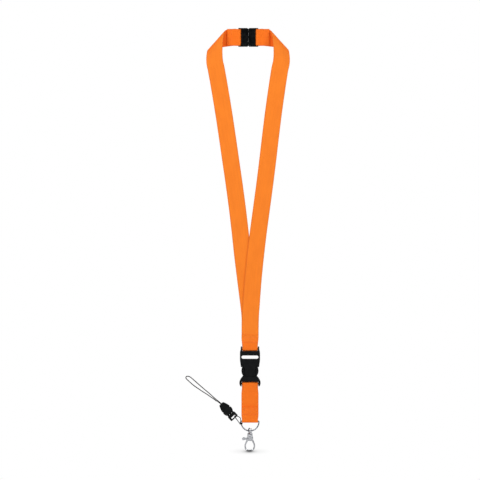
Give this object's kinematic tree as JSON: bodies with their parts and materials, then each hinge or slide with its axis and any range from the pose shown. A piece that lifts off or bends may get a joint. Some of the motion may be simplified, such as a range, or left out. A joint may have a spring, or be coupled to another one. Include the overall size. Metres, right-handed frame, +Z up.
{
  "type": "neck lanyard",
  "caption": "Flat webbing neck lanyard with a breakaway clip, side release buckle, D ring, swivel trigger hook and a small detachable phone strap.",
  "frame": {"origin": "the nape point: midway between the two legs, level with the lower edge of the neck band", "axes": "+Z up along the hanging lanyard, -Y towards the wearer's front, +X to the viewer's right"},
  "size_m": [0.1263, 0.0202, 0.5139],
  "materials": {
    "webbing": "ribbed polyester webbing",
    "thread": "sewing thread",
    "plastic": "moulded acetal, satin",
    "metal": "nickel plate",
    "cord": "braided polyester cord"
  },
  "bodies": {
    "neck_loop": {"neck_strap_right": "webbing", "neck_strap_left": "webbing", "neck_join_stitching": "thread", "right_tab_stitching": "thread", "breakaway_socket": "plastic", "side_release_socket": "plastic"},
    "breakaway_plug": {"breakaway_plug_base": "plastic", "neck_strap_left_band": "webbing", "left_tab_stitching": "thread"},
    "breakaway_upper_prong": {"breakaway_prong_upper": "plastic"},
    "breakaway_lower_prong": {"breakaway_prong_lower": "plastic"},
    "lower_gear": {"side_release_base": "plastic", "lower_strap": "webbing", "lower_strap_stitching": "thread"},
    "release_left_prong": {"side_release_prong_left": "plastic"},
    "release_right_prong": {"side_release_prong_right": "plastic"},
    "ring": {"d_ring": "metal", "tether_hitch": "cord"},
    "eye": {"swivel_eye": "metal"},
    "hook": {"hook_body": "metal", "gate_pin": "metal", "gate_spring": "metal"},
    "gate": {"hook_gate": "metal"},
    "phone_strap": {"phone_tether_cord": "cord", "mini_buckle_base": "plastic"},
    "mini_left_prong": {"mini_buckle_prong_left": "plastic"},
    "mini_right_prong": {"mini_buckle_prong_right": "plastic"},
    "phone_loop": {"mini_buckle_socket": "plastic", "string_sleeve": "cord", "phone_string_loop": "cord"}
  },
  "joints": [
    {"name": "breakaway_pull", "type": "slide", "parent": "neck_loop", "child": "breakaway_plug", "axis": [-1, 0, 0], "range_m": [0, 0.009]},
    {"name": "breakaway_upper_flex", "type": "hinge", "parent": "breakaway_plug", "child": "breakaway_upper_prong", "pos_m": [-0.0036, 0.01339, 0.018], "axis": [0, 1, 0], "range_deg": [0, 8.3]},
    {"name": "breakaway_lower_flex", "type": "hinge", "parent": "breakaway_plug", "child": "breakaway_lower_prong", "pos_m": [-0.0036, 0.01339, 0.0042], "axis": [0, -1, 0], "range_deg": [0, 8.3]},
    {"name": "buckle_pull", "type": "slide", "parent": "neck_loop", "child": "lower_gear", "axis": [0, 0, -1], "range_m": [0, 0.02]},
    {"name": "release_left_press", "type": "hinge", "parent": "lower_gear", "child": "release_left_prong", "pos_m": [-0.0036, 0, -0.403], "axis": [0, 1, 0], "range_deg": [0, 15]},
    {"name": "release_right_press", "type": "hinge", "parent": "lower_gear", "child": "release_right_prong", "pos_m": [0.0076, 0, -0.403], "axis": [0, -1, 0], "range_deg": [0, 15]},
    {"name": "ring_swing", "type": "hinge", "parent": "lower_gear", "child": "ring", "pos_m": [0.002, 0, -0.4548], "axis": [1, 0, 0], "range_deg": [-75, 75]},
    {"name": "eye_swing", "type": "hinge", "parent": "ring", "child": "eye", "pos_m": [0.002, 0, -0.46675], "axis": [1, 0, 0], "range_deg": [-60, 60]},
    {"name": "hook_swivel", "type": "hinge", "parent": "eye", "child": "hook", "pos_m": [0.002, 0, -0.473], "axis": [0, 0, 1], "continuous": true},
    {"name": "gate_open", "type": "hinge", "parent": "hook", "child": "gate", "pos_m": [-0.0001, 0, -0.4759], "axis": [0, -1, 0], "range_deg": [0, 24], "stiffness_Nm_per_rad": 0.02, "springref_deg": -17.19},
    {"name": "phone_strap_swing", "type": "hinge", "parent": "ring", "child": "phone_strap", "pos_m": [-0.0087, 0, -0.4577], "axis": [0, -1, 0], "range_deg": [-8, 95]},
    {"name": "mini_pull", "type": "slide", "parent": "phone_strap", "child": "phone_loop", "axis": [-0.6833, 0, 0.7301], "range_m": [0, 0.012]},
    {"name": "mini_left_press", "type": "hinge", "parent": "phone_strap", "child": "mini_left_prong", "pos_m": [-0.02293, 0, -0.44906], "axis": [0, 1, 0], "range_deg": [0, 12]},
    {"name": "mini_right_press", "type": "hinge", "parent": "phone_strap", "child": "mini_right_prong", "pos_m": [-0.01841, 0, -0.44483], "axis": [0, -1, 0], "range_deg": [0, 12]}
  ],
  "couplings": [
    {"joint": "breakaway_upper_flex", "follows": "breakaway_pull", "rad_per_m": 15.4},
    {"joint": "breakaway_lower_flex", "follows": "breakaway_pull", "rad_per_m": 15.4},
    {"joint": "release_left_press", "follows": "buckle_pull", "rad_per_m": 13},
    {"joint": "release_right_press", "follows": "buckle_pull", "rad_per_m": 13},
    {"joint": "mini_left_press", "follows": "mini_pull", "rad_per_m": 16.6},
    {"joint": "mini_right_press", "follows": "mini_pull", "rad_per_m": 16.6}
  ]
}
